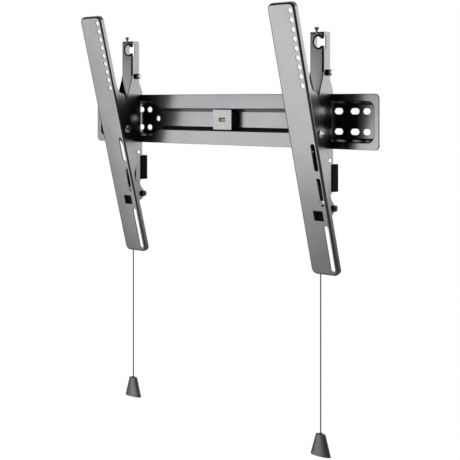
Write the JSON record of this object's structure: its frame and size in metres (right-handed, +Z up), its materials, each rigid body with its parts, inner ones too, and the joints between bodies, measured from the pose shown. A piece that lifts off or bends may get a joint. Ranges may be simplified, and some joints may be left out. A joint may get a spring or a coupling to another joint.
{
  "type": "tilting tv wall bracket",
  "caption": "Pressed steel wall plate with a spirit level and sliding hook arms, each with a tilting strip for the display and a cord-released catch.",
  "frame": {"origin": "centre of the wall plate, on the plane of the wall", "axes": "+X along the wall plate to the right of someone who faces the wall, +Y into the wall, +Z up"},
  "size_m": [0.66, 0.1298, 0.7329],
  "materials": {
    "plate_paint": "satin black powder coat",
    "strip_paint": "satin black powder coat",
    "bracket_paint": "satin black powder coat",
    "hook_paint": "satin black powder coat",
    "latch_paint": "satin black powder coat",
    "level_plastic": "light grey moulded plastic",
    "level_black": "black moulded plastic",
    "vial_liquid": "clear green liquid in a sealed tube",
    "clip_plastic": "black moulded plastic",
    "bolt_black": "blackened steel",
    "nut_black": "blackened steel",
    "rivet_zinc": "bright zinc",
    "bush_black": "blackened steel",
    "washer_plastic": "dark plastic",
    "pad_plastic": "black moulded plastic",
    "pin_zinc": "bright zinc",
    "spring_steel": "drawn spring wire",
    "eyelet_steel": "plain steel",
    "cord_braid": "dark grey braid",
    "bead_plastic": "black moulded plastic",
    "pull_plastic": "dark grey moulded plastic"
  },
  "bodies": {
    "wall": {"wall_plate": "plate_paint", "level_body": "level_black", "level_face": "level_plastic", "level_vial": "vial_liquid"},
    "left_arm": {"left_hook_bracket": "bracket_paint", "left_hook_plate": "hook_paint", "left_upper_bolt": "bolt_black", "left_upper_nut": "nut_black", "left_pivot_rivets": "rivet_zinc", "left_pivot_bushes": "bush_black", "left_friction_washers": "washer_plastic", "left_wall_pad": "pad_plastic", "left_latch_pin": "pin_zinc", "left_latch_spring": "spring_steel"},
    "left_display": {"left_display_strip": "strip_paint", "left_cord_clip": "clip_plastic"},
    "left_catch": {"left_latch": "latch_paint", "left_lower_bolt": "bolt_black", "left_lower_nut": "nut_black", "left_lower_tube": "bush_black", "left_cord_eyelet": "eyelet_steel", "left_pull_cord": "cord_braid", "left_cord_bead": "bead_plastic", "left_cord_pull": "pull_plastic"},
    "right_arm": {"right_hook_bracket": "bracket_paint", "right_hook_plate": "hook_paint", "right_upper_bolt": "bolt_black", "right_upper_nut": "nut_black", "right_pivot_rivets": "rivet_zinc", "right_pivot_bushes": "bush_black", "right_friction_washers": "washer_plastic", "right_wall_pad": "pad_plastic", "right_latch_pin": "pin_zinc", "right_latch_spring": "spring_steel"},
    "right_display": {"right_display_strip": "strip_paint", "right_cord_clip": "clip_plastic"},
    "right_catch": {"right_latch": "latch_paint", "right_lower_bolt": "bolt_black", "right_lower_nut": "nut_black", "right_lower_tube": "bush_black", "right_cord_eyelet": "eyelet_steel", "right_pull_cord": "cord_braid", "right_cord_bead": "bead_plastic", "right_cord_pull": "pull_plastic"}
  },
  "joints": [
    {"name": "left_arm_slide", "type": "slide", "parent": "wall", "child": "left_arm", "axis": [1, 0, 0], "range_m": [-0.089, 0.171]},
    {"name": "left_tilt", "type": "hinge", "parent": "left_arm", "child": "left_display", "pos_m": [-0.221, -0.061, -0.019], "axis": [1, 0, 0], "range_deg": [-15, 0]},
    {"name": "left_release", "type": "slide", "parent": "left_arm", "child": "left_catch", "axis": [0, 0, -1], "range_m": [0, 0.009], "stiffness_N_per_m": 300, "springref_m": -0.015, "deforming": ["left_latch_spring"]},
    {"name": "right_arm_slide", "type": "slide", "parent": "wall", "child": "right_arm", "axis": [1, 0, 0], "range_m": [-0.175, 0.085]},
    {"name": "right_tilt", "type": "hinge", "parent": "right_arm", "child": "right_display", "pos_m": [0.225, -0.061, -0.019], "axis": [1, 0, 0], "range_deg": [-15, 0]},
    {"name": "right_release", "type": "slide", "parent": "right_arm", "child": "right_catch", "axis": [0, 0, -1], "range_m": [0, 0.009], "stiffness_N_per_m": 300, "springref_m": -0.015, "deforming": ["right_latch_spring"]}
  ]
}
